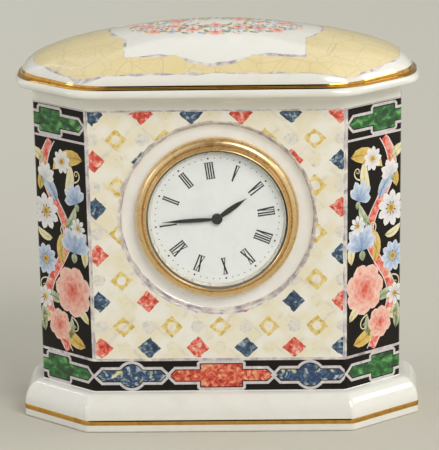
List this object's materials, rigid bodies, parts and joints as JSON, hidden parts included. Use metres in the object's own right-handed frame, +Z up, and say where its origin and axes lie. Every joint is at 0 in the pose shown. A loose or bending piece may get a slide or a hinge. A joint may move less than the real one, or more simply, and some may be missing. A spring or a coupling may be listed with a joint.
{
  "type": "desk clock",
  "caption": "Eight-sided glazed china desk clock on a moulded plinth, with a pillowed top and a round quartz insert that pushes into its front.",
  "frame": {"origin": "middle of the foot, on the surface that the clock stands on", "axes": "+X to the right as one faces the dial, +Y to the back, +Z up; the dial looks along -Y"},
  "size_m": [0.1144, 0.0588, 0.1134],
  "materials": {
    "glazed_china": "gloss",
    "black_rubber": "matte",
    "moulded_cup": "satin",
    "gilt_brass": "polished",
    "mineral_glass": "polished",
    "pale_plastic": "satin",
    "dial_enamel": "satin",
    "black_lacquer": "satin",
    "steel_plate": "satin",
    "wheel_brass": "satin",
    "magnet_iron": "satin",
    "green_plastic": "satin",
    "copper_wire": "gloss",
    "black_resin": "satin",
    "nickel_plate": "polished"
  },
  "bodies": {
    "case": {"china_case": "glazed_china"},
    "grip_ring": {"grip_ring": "black_rubber"},
    "insert": {"cup": "moulded_cup", "bezel": "gilt_brass", "crystal": "mineral_glass", "dial_ring": "pale_plastic", "dial": "dial_enamel", "main_plate": "steel_plate", "bridge": "steel_plate", "stator": "magnet_iron", "coil_core": "magnet_iron", "bobbin": "green_plastic", "coil": "copper_wire", "circuit_board": "green_plastic", "chip": "black_resin", "quartz_can": "nickel_plate", "plus_contact": "gilt_brass", "minus_contact": "gilt_brass", "movement_screws": "steel_plate"},
    "minute_hand": {"minute_hand": "black_lacquer", "cannon_pinion": "steel_plate"},
    "hour_hand": {"hour_hand": "black_lacquer", "hour_wheel": "wheel_brass"},
    "minute_wheel": {"minute_wheel": "wheel_brass"},
    "setting_knob": {"setting_knob": "pale_plastic"},
    "seconds_wheel": {"seconds_wheel": "wheel_brass"},
    "third_wheel": {"third_wheel": "wheel_brass"},
    "centre_wheel": {"centre_wheel": "wheel_brass"},
    "step_wheel": {"step_wheel": "wheel_brass"},
    "rotor": {"rotor": "magnet_iron"},
    "battery_hatch": {"battery_hatch": "moulded_cup", "battery": "nickel_plate"}
  },
  "joints": [
    {"name": "insert_pull", "type": "slide", "parent": "case", "child": "grip_ring", "axis": [0, -1, 0], "range_m": [0, 0.02]},
    {"name": "insert_turn", "type": "hinge", "parent": "grip_ring", "child": "insert", "pos_m": [0, -0.0212, 0.061], "axis": [0, -1, 0], "continuous": true},
    {"name": "minute_turn", "type": "hinge", "parent": "insert", "child": "minute_hand", "pos_m": [0, -0.0242, 0.061], "axis": [0, -1, 0], "continuous": true},
    {"name": "hour_turn", "type": "hinge", "parent": "insert", "child": "hour_hand", "pos_m": [0, -0.024, 0.061], "axis": [0, -1, 0], "continuous": true},
    {"name": "minute_wheel_turn", "type": "hinge", "parent": "insert", "child": "minute_wheel", "pos_m": [0.00475, -0.0217, 0.06467], "axis": [0, -1, 0], "continuous": true},
    {"name": "knob_turn", "type": "hinge", "parent": "insert", "child": "setting_knob", "pos_m": [0.00949, -0.0162, 0.06834], "axis": [0, -1, 0], "continuous": true},
    {"name": "seconds_turn", "type": "hinge", "parent": "insert", "child": "seconds_wheel", "pos_m": [0.00077, -0.0177, 0.04956], "axis": [0, -1, 0], "continuous": true},
    {"name": "third_turn", "type": "hinge", "parent": "insert", "child": "third_wheel", "pos_m": [0.0044, -0.0177, 0.0553], "axis": [0, -1, 0], "continuous": true},
    {"name": "centre_turn", "type": "hinge", "parent": "insert", "child": "centre_wheel", "pos_m": [0, -0.0193, 0.061], "axis": [0, -1, 0], "continuous": true},
    {"name": "step_turn", "type": "hinge", "parent": "insert", "child": "step_wheel", "pos_m": [0.00535, -0.0177, 0.04813], "axis": [0, -1, 0], "continuous": true},
    {"name": "rotor_turn", "type": "hinge", "parent": "insert", "child": "rotor", "pos_m": [0.00907, -0.0177, 0.05008], "axis": [0, -1, 0], "continuous": true},
    {"name": "hatch_pull", "type": "slide", "parent": "insert", "child": "battery_hatch", "axis": [0, 1, 0], "range_m": [0, 0.006]}
  ],
  "couplings": [
    {"joint": "hour_turn", "follows": "minute_turn", "ratio": 0.083333},
    {"joint": "minute_wheel_turn", "follows": "minute_turn", "ratio": -0.33333},
    {"joint": "knob_turn", "follows": "minute_turn", "ratio": 1},
    {"joint": "third_turn", "follows": "seconds_turn", "ratio": -0.13333},
    {"joint": "centre_turn", "follows": "seconds_turn", "ratio": 0.016667},
    {"joint": "step_turn", "follows": "seconds_turn", "ratio": -5},
    {"joint": "rotor_turn", "follows": "seconds_turn", "ratio": 30}
  ]
}
